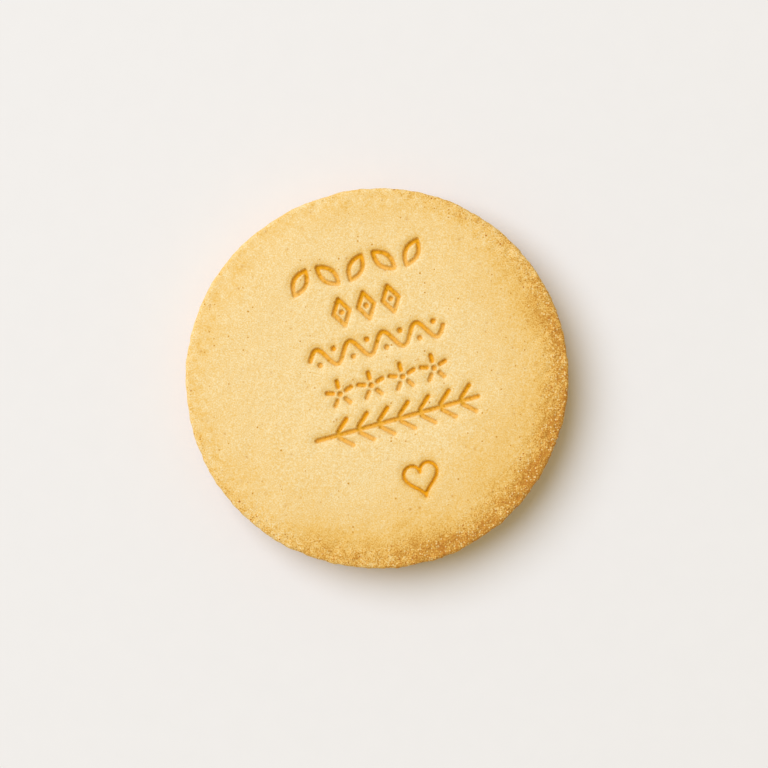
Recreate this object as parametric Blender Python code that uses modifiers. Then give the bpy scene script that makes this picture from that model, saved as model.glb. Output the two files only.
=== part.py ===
"""A round butter biscuit with a stamped top, at its real size.

Metres, +Z up. The origin is the centre of the flat underside. Seen from above with +X to the
right, the stamped rows rise gently to the right and the heart lies under them, towards -Y.
"""

import math

import bmesh
import bpy
import numpy as np
from mathutils import Matrix, Vector

# Driving sizes of the baked dough
DIAMETER = 0.0600
THICKNESS = 0.0090
DOME_DROP = 0.0007
DOME_POWER = 5
SHOULDER = 0.984
FOOT_INSET = 0.0012

# How finely the body is divided; a crowding under 1 puts the dome's rings closer to the rim
SEGMENTS = 108
DOME_RINGS = 10
DOME_RING_CROWDING = 0.8
SHOULDER_RINGS = 4
SIDE_RINGS = 5
WELD_DISTANCE = 0.00001
SHARP_ANGLE = math.radians(35.0)

# The baked outline: waves round the rim as (count, share of the radius, direction in degrees)
OUTLINE_WAVES = ((2, 0.0055, 53.0), (3, 0.0015, 166.0), (5, 0.0019, 36.0))

# The top's gentle swells, and the coarse crumb from CRUMB_FROM of the radius outwards
SWELL_DEPTH = 0.00008
SWELL_LENGTH_X = 0.030
SWELL_LENGTH_Y = 0.037
SWELL_PHASE_X = 1.0
SWELL_PHASE_Y = -0.6
CRUMB_FROM = 0.82
CRUMB_RELIEF = 0.00010
CRUMB_SEED = 7
FLAT_BASE = 0.0001

# The stamp: a block of rows, turned on the biscuit, with the heart under it
STAMP_TURN = math.radians(15.5)
STAMP_ACROSS = 0.0014
ROW_PITCH = 0.00615
LOWEST_ROW = -0.0070
HEART_ROW = -0.01685
HEART_ACROSS = 0.00257
MOTIF_HEIGHT = 0.0042
STROKE_WIDTH = 0.00078
STROKE_DEPTH = 0.00085
STROKE_LIFT = 0.00030
STROKE_BEVEL = 2
STROKE_END_ANGLES = (20.0, 50.0, 90.0)
DOT_DIAMETER = 0.00095
DOT_SEGMENTS = 10
DOT_RINGS = 8

LEAF_COUNT = 5
LEAF_WIDTH = 0.0020
LEAF_PITCH = 0.00455
LEAF_LEAN = math.radians(38.0)
LEAF_STEPS = 8
DIAMOND_COUNT = 3
DIAMOND_WIDTH = 0.0026
DIAMOND_PITCH = 0.0040
WAVE_COUNT = 4
WAVE_LENGTH = 0.0054
WAVE_HEIGHT = 0.0030
WAVE_STEPS = 10
BAY_DOT_RISE = 0.0010
FLOWER_COUNT = 4
FLOWER_PITCH = 0.0051
PETALS = 5
PETAL_START = 0.00112
PETAL_END = 0.00205
EAR_LENGTH = 0.0262
EAR_STALK = 0.0030
EAR_TIP = 0.0032
EAR_PAIRS = 7
GRAIN_START = 0.00075
GRAIN_LENGTH = 0.0024
GRAIN_LEAN = math.radians(42.0)
HEART_WIDTH = 0.0053
HEART_STRETCH = 1.06
HEART_STROKE_WIDTH = 0.00062
HEART_STEPS = 36

DOUGH_COLOUR = (0.82, 0.56, 0.23, 1.0)
DOUGH_ROUGHNESS = 0.85


def clear_scene():
    """Removes whatever the file held, so that the script can be run again."""
    for old in list(bpy.data.objects):
        bpy.data.objects.remove(old, do_unlink=True)


def new_collection(name):
    """A collection of that name, linked to the scene."""
    collection = bpy.data.collections.new(name)
    bpy.context.scene.collection.children.link(collection)
    return collection


def dough_material():
    """Matt golden dough."""
    material = bpy.data.materials.new("baked_dough")
    material.use_nodes = True
    shader = material.node_tree.nodes["Principled BSDF"]
    shader.inputs["Base Color"].default_value = DOUGH_COLOUR
    shader.inputs["Roughness"].default_value = DOUGH_ROUGHNESS
    shader.inputs["Metallic"].default_value = 0.0
    return material


def dome_height(radius):
    """Height of the top at a radius: THICKNESS, less DOME_DROP times (radius / R) ** DOME_POWER."""
    return THICKNESS - DOME_DROP * (2 * radius / DIAMETER) ** DOME_POWER


def body_profile():
    """Points (radius, height) from the middle of the top, over the rim, to the middle of the base.

    The dome runs out to the shoulder. From there an arc turns from the dome's slope to upright and
    ends at the full radius, and under it the side draws in to the foot.
    """
    full = DIAMETER / 2
    shoulder = SHOULDER * full
    slope = math.atan(DOME_POWER * DOME_DROP / full * SHOULDER ** (DOME_POWER - 1))
    arc_radius = (full - shoulder) / (1 - math.sin(slope))
    arc_height = dome_height(shoulder) - arc_radius * math.cos(slope)
    points = []
    for ring in range(DOME_RINGS):
        radius = shoulder * (ring / DOME_RINGS) ** DOME_RING_CROWDING
        points.append((radius, dome_height(radius)))
    for ring in range(SHOULDER_RINGS + 1):
        turn = slope + (math.pi / 2 - slope) * ring / SHOULDER_RINGS
        radius = full - arc_radius * (1 - math.sin(turn))
        points.append((radius, arc_height + arc_radius * math.cos(turn)))
    for ring in range(1, SIDE_RINGS + 1):
        share = ring / SIDE_RINGS
        points.append((full - FOOT_INSET * share**2, arc_height * (1 - share)))
    points.append((0.0, 0.0))
    return points


def baked_mesh(obj, name):
    """A plain mesh of the object with its modifiers or its curve bevel worked out."""
    graph = bpy.context.evaluated_depsgraph_get()
    mesh = bpy.data.meshes.new_from_object(obj.evaluated_get(graph))
    mesh.name = name
    return mesh


def turned_body(name):
    """The profile turned once round Z by a Screw modifier, made a plain mesh."""
    outline = bpy.data.meshes.new(name + "_profile")
    points = [(r, 0.0, z) for r, z in body_profile()]
    edges = [(i, i + 1) for i in range(len(points) - 1)]
    outline.from_pydata(points, edges, [])
    profile = bpy.data.objects.new(name + "_profile", outline)
    bpy.context.scene.collection.objects.link(profile)
    screw = profile.modifiers.new("Turn", "SCREW")
    screw.steps = SEGMENTS
    screw.render_steps = SEGMENTS
    screw.use_merge_vertices = True
    screw.merge_threshold = WELD_DISTANCE
    mesh = baked_mesh(profile, name)
    bpy.data.objects.remove(profile)
    return mesh


def outline_factor(angle):
    """How much wider or narrower the baked rim is at each angle: a sum of a few cosine waves."""
    factor = np.ones_like(angle)
    for count, share, direction in OUTLINE_WAVES:
        factor += share * np.cos(count * angle - math.radians(direction))
    return factor


def swell(x, y):
    """The top's gentle rise and fall, from -2 to 0: a product of two long waves, less 1."""
    wave_x = np.sin(2 * math.pi * x / SWELL_LENGTH_X + SWELL_PHASE_X)
    wave_y = np.cos(2 * math.pi * y / SWELL_LENGTH_Y + SWELL_PHASE_Y)
    return wave_x * wave_y - 1.0


def centred(values):
    """The values shifted so that the lowest and the highest lie equally far from nought."""
    return values - (values.min() + values.max()) / 2


def bake_unevenly(mesh):
    """Makes the turned body a baked one.

    Each point's radius is scaled by the outline's waves, and the top rises and falls gently. The
    points of the rim are also pushed in, out and down at random, as coarse crumb. The underside
    stays a flat plane, and the whole is centred on the origin.
    """
    flat = np.empty(len(mesh.vertices) * 3)
    mesh.vertices.foreach_get("co", flat)
    x, y, z = flat.reshape(-1, 3).T
    radius = np.hypot(x, y)
    angle = np.arctan2(y, x)
    on_rim = (radius > CRUMB_FROM * DIAMETER / 2) & (z > FLAT_BASE)
    crumb = np.where(on_rim, CRUMB_RELIEF, 0.0)
    across, down = np.random.default_rng(CRUMB_SEED).uniform(0.0, 1.0, (2, len(x)))
    above = z / THICKNESS
    radius = radius * outline_factor(angle) + crumb * (0.5 - across)
    z = z + (SWELL_DEPTH * swell(x, y) - crumb * down) * above
    x = centred(radius * np.cos(angle))
    y = centred(radius * np.sin(angle))
    mesh.vertices.foreach_set("co", np.column_stack((x, y, z)).ravel())
    mesh.update()


def turned(points, angle):
    """The points turned anticlockwise about the origin."""
    cos, sin = math.cos(angle), math.sin(angle)
    return [(x * cos - y * sin, x * sin + y * cos) for x, y in points]


def moved(points, across, up):
    """The points shifted in the stamp's own plane."""
    return [(x + across, y + up) for x, y in points]


def leaf(lean):
    """A pointed oval: two bowed edges, each width * (1 - t * t) / 2 away from the midrib."""
    along = [-1 + 2 * i / LEAF_STEPS for i in range(LEAF_STEPS + 1)]
    right = [(LEAF_WIDTH / 2 * (1 - t * t), MOTIF_HEIGHT / 2 * t) for t in along]
    left = [(-x, y) for x, y in reversed(right[1:-1])]
    return turned(right + left, lean)


def heart():
    """The sine heart, 16 sin^3 t across and 13 cos t - 5 cos 2t - 2 cos 3t - cos 4t up.

    In those units it is 32 across, which is scaled to HEART_WIDTH, and it is stretched upright.
    """
    scale = HEART_WIDTH / 32
    points = []
    for i in range(HEART_STEPS):
        t = 2 * math.pi * i / HEART_STEPS
        across = 16 * math.sin(t) ** 3
        up = 13 * math.cos(t) - 5 * math.cos(2 * t) - 2 * math.cos(3 * t) - math.cos(4 * t)
        points.append((scale * across, scale * HEART_STRETCH * up))
    return points


def row_places(count, pitch):
    """Evenly spaced places along a row, centred on it."""
    return [pitch * (i - (count - 1) / 2) for i in range(count)]


def leaf_row():
    """Leaves that lean right and left in turn."""
    strokes = []
    for number, x in enumerate(row_places(LEAF_COUNT, LEAF_PITCH)):
        lean = LEAF_LEAN if number % 2 else -LEAF_LEAN
        strokes.append((moved(leaf(lean), x, 0), True))
    return strokes, []


def diamond_row():
    """Upright diamonds side by side, each with a dot in it."""
    half_width, half_height = DIAMOND_WIDTH / 2, MOTIF_HEIGHT / 2
    corners = [(half_width, 0), (0, half_height), (-half_width, 0), (0, -half_height)]
    places = row_places(DIAMOND_COUNT, DIAMOND_PITCH)
    return [(moved(corners, x, 0), True) for x in places], [(x, 0) for x in places]


def wave_row():
    """A running sine wave, with a dot in each of its bays."""
    length = WAVE_LENGTH * WAVE_COUNT
    steps = WAVE_STEPS * WAVE_COUNT
    points = []
    for i in range(steps + 1):
        x = length * (i / steps - 0.5)
        points.append((x, WAVE_HEIGHT / 2 * math.sin(2 * math.pi * x / WAVE_LENGTH)))
    dots = []
    for number, x in enumerate(row_places(2 * WAVE_COUNT, WAVE_LENGTH / 2)):
        dots.append((x, BAY_DOT_RISE if number % 2 else -BAY_DOT_RISE))
    return [(points, False)], dots


def flower_row():
    """Small flowers: petals as short spokes round a dot."""
    strokes, dots = [], []
    for x in row_places(FLOWER_COUNT, FLOWER_PITCH):
        for petal in range(PETALS):
            spoke = turned([(0, PETAL_START), (0, PETAL_END)], 2 * math.pi * petal / PETALS)
            strokes.append((moved(spoke, x, 0), False))
        dots.append((x, 0))
    return strokes, dots


def ear_row():
    """An ear of wheat lying along the row: a straw with pairs of grains leaning forward."""
    strokes = [([(-EAR_LENGTH / 2, 0), (EAR_LENGTH / 2, 0)], False)]
    first = EAR_STALK - EAR_LENGTH / 2
    last = EAR_LENGTH / 2 - EAR_TIP
    grain = [(GRAIN_START, 0), (GRAIN_START + GRAIN_LENGTH, 0)]
    for pair in range(EAR_PAIRS):
        foot = first + (last - first) * pair / (EAR_PAIRS - 1)
        for lean in (GRAIN_LEAN, -GRAIN_LEAN):
            strokes.append((moved(turned(grain, lean), foot, 0), False))
    return strokes, []


def stamp_design():
    """All strokes as (points, closed, width) and all dots, in the biscuit's own X and Y."""
    strokes, dots = [], []
    rows_from_below = (ear_row, flower_row, wave_row, diamond_row, leaf_row)
    for number, row in enumerate(rows_from_below):
        up = LOWEST_ROW + ROW_PITCH * number
        row_strokes, row_dots = row()
        for points, closed in row_strokes:
            placed = turned(moved(points, STAMP_ACROSS, up), STAMP_TURN)
            strokes.append((placed, closed, STROKE_WIDTH))
        dots += turned(moved(row_dots, STAMP_ACROSS, up), STAMP_TURN)
    placed = turned(moved(heart(), HEART_ACROSS, HEART_ROW), STAMP_TURN)
    strokes.append((placed, True, HEART_STROKE_WIDTH))
    return strokes, dots


def rounded_ends(points, width):
    """An open stroke with points added near its ends, and each point's share of the full radius.

    At an angle a of the end's quarter circle, the point lies 1 - cos a of the half width in from
    the tip, and has sin a of the full radius.
    """
    half = width / 2
    quarter = [math.radians(angle) for angle in STROKE_END_ANGLES]
    ends = [(1 - math.cos(angle), math.sin(angle)) for angle in quarter]
    line = [Vector((x, y, 0)) for x, y in points]
    first = (line[1] - line[0]).normalized()
    last = (line[-2] - line[-1]).normalized()
    opening = [(line[0] + first * half * step, share) for step, share in ends]
    closing = [(line[-1] + last * half * step, share) for step, share in reversed(ends)]
    return opening + [(place, 1.0) for place in line[1:-1]] + closing


def stroke_cutter(name, points, closed, width, collection):
    """A tube along the stroke, stretched upright, that cuts a groove with leaning walls.

    Its centre line runs STROKE_LIFT above the top, so the groove is widest at the top, and its
    half height is the groove's depth and that lift.
    """
    curve = bpy.data.curves.new(name, "CURVE")
    curve.dimensions = "3D"
    curve.twist_mode = "Z_UP"
    curve.bevel_depth = width / 2
    curve.bevel_resolution = STROKE_BEVEL
    curve.use_fill_caps = True
    if closed:
        path = [(Vector((x, y, 0)), 1.0) for x, y in points]
    else:
        path = rounded_ends(points, width)
    spline = curve.splines.new("POLY")
    spline.points.add(len(path) - 1)
    for point, (place, share) in zip(spline.points, path):
        point.co = (*place, 1.0)
        point.radius = share
    spline.use_cyclic_u = closed
    tube = bpy.data.objects.new(name, curve)
    collection.objects.link(tube)
    mesh = baked_mesh(tube, name)
    bpy.data.objects.remove(tube)
    place_cutter(mesh, (0, 0), width / 2, collection)


def dot_cutter(name, place, collection):
    """An upright egg that cuts a round dimple of the strokes' depth."""
    radius = DOT_DIAMETER / 2
    solid = bmesh.new()
    bmesh.ops.create_uvsphere(solid, u_segments=DOT_SEGMENTS, v_segments=DOT_RINGS, radius=radius)
    mesh = bpy.data.meshes.new(name)
    solid.to_mesh(mesh)
    solid.free()
    place_cutter(mesh, place, radius, collection)


def place_cutter(mesh, place, half_height, collection):
    """Stretches a mesh upright to the stamp's depth, drapes it over the dome and welds its caps."""
    stretch = (STROKE_DEPTH + STROKE_LIFT) / half_height
    lift = Matrix.Translation((*place, STROKE_LIFT - SWELL_DEPTH))
    mesh.transform(lift @ Matrix.Diagonal((1, 1, stretch, 1)))
    solid = bmesh.new()
    solid.from_mesh(mesh)
    for vertex in solid.verts:
        vertex.co.z += dome_height(vertex.co.xy.length)
    bmesh.ops.remove_doubles(solid, verts=solid.verts, dist=WELD_DISTANCE)
    bmesh.ops.recalc_face_normals(solid, faces=solid.faces)
    solid.to_mesh(mesh)
    solid.free()
    cutter = bpy.data.objects.new(mesh.name, mesh)
    cutter.hide_render = True
    cutter.display_type = "WIRE"
    collection.objects.link(cutter)


def stamp_cutters(collection):
    """One cutter for each stroke and dot of the design."""
    strokes, dots = stamp_design()
    for number, (points, closed, width) in enumerate(strokes):
        stroke_cutter(f"stamp_stroke_{number:02d}", points, closed, width, collection)
    for number, place in enumerate(dots):
        dot_cutter(f"stamp_dot_{number:02d}", place, collection)


def main():
    """Builds the biscuit and presses the stamp into its top."""
    clear_scene()
    parts = new_collection("stamped_biscuit")
    cutters = new_collection("stamp_cutters")
    mesh = turned_body("biscuit")
    bake_unevenly(mesh)
    mesh.materials.append(dough_material())
    mesh.shade_smooth()
    mesh.set_sharp_from_angle(angle=SHARP_ANGLE)
    biscuit = bpy.data.objects.new("biscuit", mesh)
    parts.objects.link(biscuit)
    stamp_cutters(cutters)
    stamp = biscuit.modifiers.new("Stamp", "BOOLEAN")
    stamp.operation = "DIFFERENCE"
    stamp.operand_type = "COLLECTION"
    stamp.collection = cutters
    stamp.solver = "EXACT"


main()
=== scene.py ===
"""Dresses the stamped round butter biscuit: its crust, the loose grains on its rim, and a stage.

Metres, +Z up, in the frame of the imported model. The crust is one closed surface, worked out as a
profile carried round a circle, with the stamp pressed into it and the bake's unevenness on it.
"""

import math

import bpy
import numpy as np
from bpy.props import FloatProperty, FloatVectorProperty, IntProperty, PointerProperty
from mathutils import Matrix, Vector


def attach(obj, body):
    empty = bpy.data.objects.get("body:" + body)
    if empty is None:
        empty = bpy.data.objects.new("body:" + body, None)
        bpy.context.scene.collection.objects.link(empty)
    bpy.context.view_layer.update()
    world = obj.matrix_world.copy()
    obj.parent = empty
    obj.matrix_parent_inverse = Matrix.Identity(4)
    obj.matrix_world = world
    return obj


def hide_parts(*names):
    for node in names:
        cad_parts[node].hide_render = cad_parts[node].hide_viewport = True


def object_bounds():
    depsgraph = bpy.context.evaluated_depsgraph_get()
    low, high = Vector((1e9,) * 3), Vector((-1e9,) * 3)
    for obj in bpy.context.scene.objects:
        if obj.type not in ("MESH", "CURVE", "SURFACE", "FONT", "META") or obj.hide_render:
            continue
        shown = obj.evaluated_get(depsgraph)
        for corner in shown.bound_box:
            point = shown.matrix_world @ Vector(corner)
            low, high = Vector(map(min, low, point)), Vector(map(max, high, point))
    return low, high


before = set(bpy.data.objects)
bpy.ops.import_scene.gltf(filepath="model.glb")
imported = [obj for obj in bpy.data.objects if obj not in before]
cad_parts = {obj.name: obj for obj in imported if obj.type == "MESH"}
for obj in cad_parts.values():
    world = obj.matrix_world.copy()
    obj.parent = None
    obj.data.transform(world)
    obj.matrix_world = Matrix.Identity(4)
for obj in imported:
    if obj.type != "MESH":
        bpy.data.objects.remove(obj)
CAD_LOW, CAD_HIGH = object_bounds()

bl_info = {
    "name": "Stamped Butter Biscuit",
    "version": (1, 0, 0),
    "blender": (4, 5, 0),
    "location": "3D View > Sidebar > Biscuit",
    "description": "Builds a stamped round butter biscuit with a baked crust and a crumbly rim",
    "category": "Add Mesh",
}

BODY = "root"
CAD_NODE = "biscuit"

# The cross-section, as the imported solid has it: the power with which the dome falls, the share of
# the radius at which its shoulder begins, how far the foot is drawn in and how far it is rounded
DOME_POWER = 5
SHOULDER = 0.984
FOOT_INSET = 0.0012
FOOT_ROUNDING = 0.0008
PROFILE_STEPS = 400

# The baked outline: waves round the rim as (count, share of the radius, direction in degrees), the
# steps in which their box is measured, and the long shallow swell of the top
OUTLINE_WAVES = ((2, 0.0055, 53.0), (3, 0.0015, 166.0), (5, 0.0019, 36.0))
OUTLINE_STEPS = 3600
SWELL_DEPTH = 0.00008
SWELL_LENGTH_X = 0.030
SWELL_LENGTH_Y = 0.037
SWELL_PHASE_X = 1.0
SWELL_PHASE_Y = -0.6

# The spacing of the crust's points, fine under the stamp and coarser on the rim, the side and the
# underside, and the margins over which one passes into the next
STAMP_REACH = 0.0230
STAMP_SPACING = 0.00018
RIM_SPACING = 0.00025
SIDE_SPACING = 0.00040
BASE_SPACING = 0.00090
ROW_SHARE = math.sqrt(3) / 2
FEWEST_ROUND = 6
STAMP_MARGIN = 0.001
SHOULDER_MARGIN = 0.002
FOOT_MARGIN = 0.004

# The stamp: a block of rows, turned on the biscuit, with the heart under it; and of each groove,
# the share of its wall that lies inside its edge and how many shoulder widths out it is felt
STAMP_ACROSS = 0.0014
ROW_PITCH = 0.00615
LOWEST_ROW = -0.0070
HEART_ROW = -0.01685
HEART_ACROSS = 0.00257
MOTIF_HEIGHT = 0.0042
LEAF_COUNT = 5
LEAF_WIDTH = 0.0020
LEAF_PITCH = 0.00455
LEAF_LEAN = math.radians(38.0)
LEAF_STEPS = 24
DIAMOND_COUNT = 3
DIAMOND_WIDTH = 0.0026
DIAMOND_PITCH = 0.0040
WAVE_COUNT = 4
WAVE_LENGTH = 0.0054
WAVE_HEIGHT = 0.0030
WAVE_STEPS = 20
BAY_DOT_RISE = 0.0010
FLOWER_COUNT = 4
FLOWER_PITCH = 0.0051
PETALS = 5
PETAL_START = 0.00112
PETAL_END = 0.00205
EAR_LENGTH = 0.0262
EAR_STALK = 0.0030
EAR_TIP = 0.0032
EAR_PAIRS = 7
GRAIN_START = 0.00075
GRAIN_LENGTH = 0.0024
GRAIN_LEAN = math.radians(42.0)
HEART_WIDTH = 0.0053
HEART_STRETCH = 1.06
HEART_STROKE_SHARE = 0.80
HEART_STEPS = 96
WALL_INSIDE = 0.8
DIP_REACH = 4

# How the stamp was rocked: which way the dough was drawn along, away from the key light; and the
# least depth of a groove and the least of its painted shade, at the lower side of its row, as
# shares of those at the upper side
ROCK_SHIFT = 0.00014
ROCK_DIRECTION = math.radians(324.0)
LEAST_DEPTH = 0.80
LEAST_GROOVE_SHADE = 0.64

# The edge beyond a groove, on the side to which the dough was drawn, whose slope faces the key
# light: how far it stands up, how far it reaches and how much lighter it is painted, a painted
# highlight
EDGE_RISE = 0.00003
EDGE_WIDTH = 0.00030
EDGE_HIGHLIGHT_TONE = 0.22

# Limits on how far the surface's normal points down, from -1 on the top to 1 on the underside,
# between which a step comes in: for the end of the stamped top, for the lip's tone and the
# underside's, for the side's waver, for the end of the crumb on the wall and on the underside, for
# the end of the relief on the underside, and for the smaller loose grains
TOP_ENDS = (-0.8, -0.5)
LIP_TURN = (-0.45, 0.10)
BASE_TURN = (0.55, 0.95)
SIDE_TURN = (-0.8, 0.0)
CRUMB_WALL_TURN = (-0.30, 0.05)
CRUMB_BASE_TURN = (0.0, 0.9)
RELIEF_BASE_TURN = (0.2, 0.9)
GRAIN_TURN = (-0.8, -0.3)

# Noise: how many waves are added up, and the lengths of the shortest and the longest, as shares of
# the length asked for
NOISE_WAVES = 40
NOISE_LENGTHS = (0.7, 1.4)

# The relief: lengths of its fine, coarse and soft unevenness and the number of waves in the first
# two, the shares of the last two in the grain of the top, and those of the fine one and of the
# coarse one's size in the crumb of the rim
FINE_LENGTH = 0.00075
COARSE_LENGTH = 0.0017
SOFT_LENGTH = 0.0060
RELIEF_WAVES = 56
GRAIN_COARSE = 1.4
GRAIN_SOFT = 3.0
CRUMB_FINE = 0.8
CRUMB_HOLLOW = 0.4

# The side's waver as (height, length), and the depth of the dents under the base
SIDE_WAVER = (0.000045, 0.0026)
BASE_DENTS = 0.00002

# The pits: the greatest depth, how far out they reach as a share of the radius, and the spread of
# their widths and of their shares of that depth; a crowding under 0.5 puts more towards the rim
PIT_DEPTH = 0.00006
PIT_REACH = 0.97
PIT_CROWDING = 0.36
PIT_WIDTHS = (0.00012, 0.00019)
PIT_SHARES = (0.35, 1.0)

# Browning with painted shade in it, from 0 to 1. The top has one tone all over, to which each
# band adds. It begins at a share of the radius, and adds a tone all round, the bake's own, and a
# further one that fades away from the side turned away from the key light, the faster the higher
# the power; that further tone is partly the bake's and partly painted shade on that side: (share
# where it begins, tone all round, further tone, power)
BROWN_AND_SHADE_DIRECTION = math.radians(326.0)
TOP_TONE = 0.05
BROWN_AND_SHADE_BANDS = ((0.40, 0.06, 0.39, 1.5), (0.80, 0.12, 0.24, 1.5), (0.92, 0.00, 0.18, 3))

# The tones below the top: the lip's as (tone all round, further tone, power), which is painted
# light and shade: lighter than the top beside it, standing in for light on the turning edge, and
# brown only towards the side turned away from the key light, painted shade; the wall's as (tone
# all round, further tone), the foot's and the underside's
LIP_LIGHT_AND_SHADE_TONES = (0.05, 0.63, 8)
WALL_TONES = (0.56, 0.24)
FOOT_TONE = 0.78
BASE_TONE = 0.62

# What the dip beside a groove adds to the tone, painted shade where its slope is turned away from
# the key light, at the upper side of its row, and the share of that at the lower side
DIP_SHADE_TONE = 0.29
DIP_SHADE_EVEN = 0.35

# Heights on the side, as shares of the thickness: where the lip's tone ends, where the wall's has
# come in, between which the foot's comes in, and how all of them waver, as (strength, length)
LIP_ENDS = 0.82
WALL_FROM = 0.40
FOOT_FROM = 0.22
FOOT_FULL = 0.02
LEVEL_WAVER = (0.05, 0.004)

# Patches of the bake as (strength, length): the first two move the bands in and out by a share of
# the radius, the others move the tones of the rim, the wall and the underside. The rim's mottle
# and the darker edge of the underside each come in between two shares of the radius
RIM_WANDER = (0.030, 0.011)
RIM_RAGGED = (0.016, 0.0032)
RIM_MOTTLE = (0.07, 0.0016)
MOTTLE_REACH = (0.84, 0.95)
WALL_PATCHES = (0.06, 0.006)
BASE_PATCHES = (0.08, 0.006)
BASE_EDGE_TONE = 0.20
BASE_EDGE_REACH = (0.70, 0.96)

# The crumbly rim: the share of the radius where it begins away from the brownest side, how much
# further in it begins there, its strength away from there, and how much of it the wall keeps
CRUMBLY_FROM = 0.93
CRUMBLY_REACH = 0.15
CRUMBLY_EVEN = 0.15
CRUMBLY_WALL = 0.55

# The tones of the crust's colours, of which brown stands at 1 and scorched beyond it, and the scale
# that leaves room for scorched; and what moves the tone, as (length, detail, strength). On the
# crumbly rim the fine noise and the patches move it further
PALE_TONE = 0.14
MIDDLE_TONE = 0.36
GOLDEN_TONE = 0.62
TONE_SCALE = 0.70
FINE_NOISE = (0.00022, 1.0, 1.15)
GRAIN_NOISE = (0.00050, 1.0, 0.28)
PATCH_NOISE = (0.0016, 2.0, 0.16)
CRUMBLY_FINE = 1.3
CRUMBLY_PATCH = 0.4

# Specks on the crust as (spacing of their cells, mean radius, share of the cells with one). Of the
# brown ones' share, a part is there without browning and more comes in with it. Then the spread of
# their radii, the outer and inner end of their soft edge, in radii, and the limits between which
# the sum of a cell's share and its own draw brings its speck in
PALE_SPECKS = (0.00036, 0.00011, 0.48)
SCORCHED_SPECKS = (0.00045, 0.00012, 0.38)
BROWN_SPECKS = (0.00075, 0.00011, 0.22)
SPECKS_UNBROWNED = 0.30
SPECKS_BROWNED = 1.5
SPECK_SPREAD = 0.4
SPECK_EDGE = (1.3, 0.8)
SPECK_DRAW = (0.99, 1.01)

# Dark blotches in the grooves, the crust's fine bumps, whose noise is (length, detail, roughness),
# and its sheen, which fades out in the grooves
BLOTCH_LENGTH = 0.00050
BLOTCH_LIMITS = (0.52, 0.72)
BLOTCH_SHADE = 0.74
BUMP_NOISE = (0.00028, 2.0, 0.6)
BUMP_HEIGHT = 0.00005
BUMP_STRENGTH = 0.5
CRUST_SHEEN = 0.25

# Loose grains: tries for each, the power of the crumbliness that keeps one, the chance of a stray,
# how far pressed the dough may be where one lies, the spread of their sizes, how much smaller they
# are on the side, the ranges of their stretch, dents, depth and tone, and the gap under the lowest
TRIES = 60
KEEP_POWER = 1.4
STRAY_CHANCE = 0.012
CLEAR_PRESSED = 0.02
SIZE_SPREAD = 0.32
SIDE_SHRINK = 0.5
STRETCHES = (0.7, 1.25)
DENTS = (0.8, 1.15)
SUNK_SHARES = (0.30, 0.80)
TONE_SHIFTS = (-0.16, 0.22)
FLOOR_GAP = 0.00002

# Sugar: the golden shade of some grains as shares of its colour, the length of the noise that
# chooses them, between which of its values they turn golden, and their gloss
SUGAR_GOLD = (0.97, 0.88, 0.66)
SUGAR_PATCH = 0.0012
SUGAR_STOPS = (0.35, 0.65)
SUGAR_GLOSS = 0.45

# Seeds, so that every run gives the same biscuit
RELIEF_SEED = 11
BROWN_SEED = 23
PIT_SEED = 31
CRUMB_SEED = 43
SUGAR_SEED = 59

# The photograph's frame: image size, the biscuit's centre and its mean radius, in pixels; and the
# lens, with the nearest and the farthest that it sees
IMAGE_SIZE = 768
CENTRE_PIXEL = (377.2, 378.3)
RADIUS_PIXELS = 190.65
LENS_MM = 85.0
SENSOR_MM = 36.0
NEAREST = 0.01
FARTHEST = 10.0

# The floor: its width, its speckle as (length, detail), the values of that noise between which it
# turns to the darker shade, that shade as a share of its colour, its roughness and its sheen
FLOOR_SIZE = 3.0
FLOOR_SPECKLE = (0.004, 2.0)
FLOOR_STOPS = (0.3, 0.7)
FLOOR_SHADE = 0.992
FLOOR_ROUGHNESS = 0.9
FLOOR_SHEEN = 0.1

# The large soft light: its direction, its distance and its width
KEY_AZIMUTH = math.radians(144.0)
KEY_ELEVATION = math.radians(55.0)
KEY_DISTANCE = 4.0
KEY_SIZE = 3.56


class BiscuitShape(bpy.types.PropertyGroup):
    """Sizes of the baked dough."""

    diameter: FloatProperty(
        name="Diameter",
        description="Mean width across the rim",
        default=0.0600,
        subtype="DISTANCE",
        unit="LENGTH",
    )
    thickness: FloatProperty(
        name="Thickness",
        description="Height of the middle of the top",
        default=round(CAD_HIGH.z, 5),
        subtype="DISTANCE",
        unit="LENGTH",
    )
    dome_drop: FloatProperty(
        name="Dome Drop",
        description="How far the top has fallen at the full radius",
        default=0.0007,
        subtype="DISTANCE",
        unit="LENGTH",
    )
    grain_relief: FloatProperty(
        name="Grain Relief",
        description="Spread of the fine grain's height on the middle of the top",
        default=0.000006,
        precision=6,
        subtype="DISTANCE",
        unit="LENGTH",
    )
    rim_relief: FloatProperty(
        name="Rim Relief",
        description="Spread of the crumbly rim's height",
        default=0.000040,
        precision=6,
        subtype="DISTANCE",
        unit="LENGTH",
    )
    pit_count: IntProperty(
        name="Pits",
        description="Tiny holes left by air in the top",
        default=80,
        min=0,
    )


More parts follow.
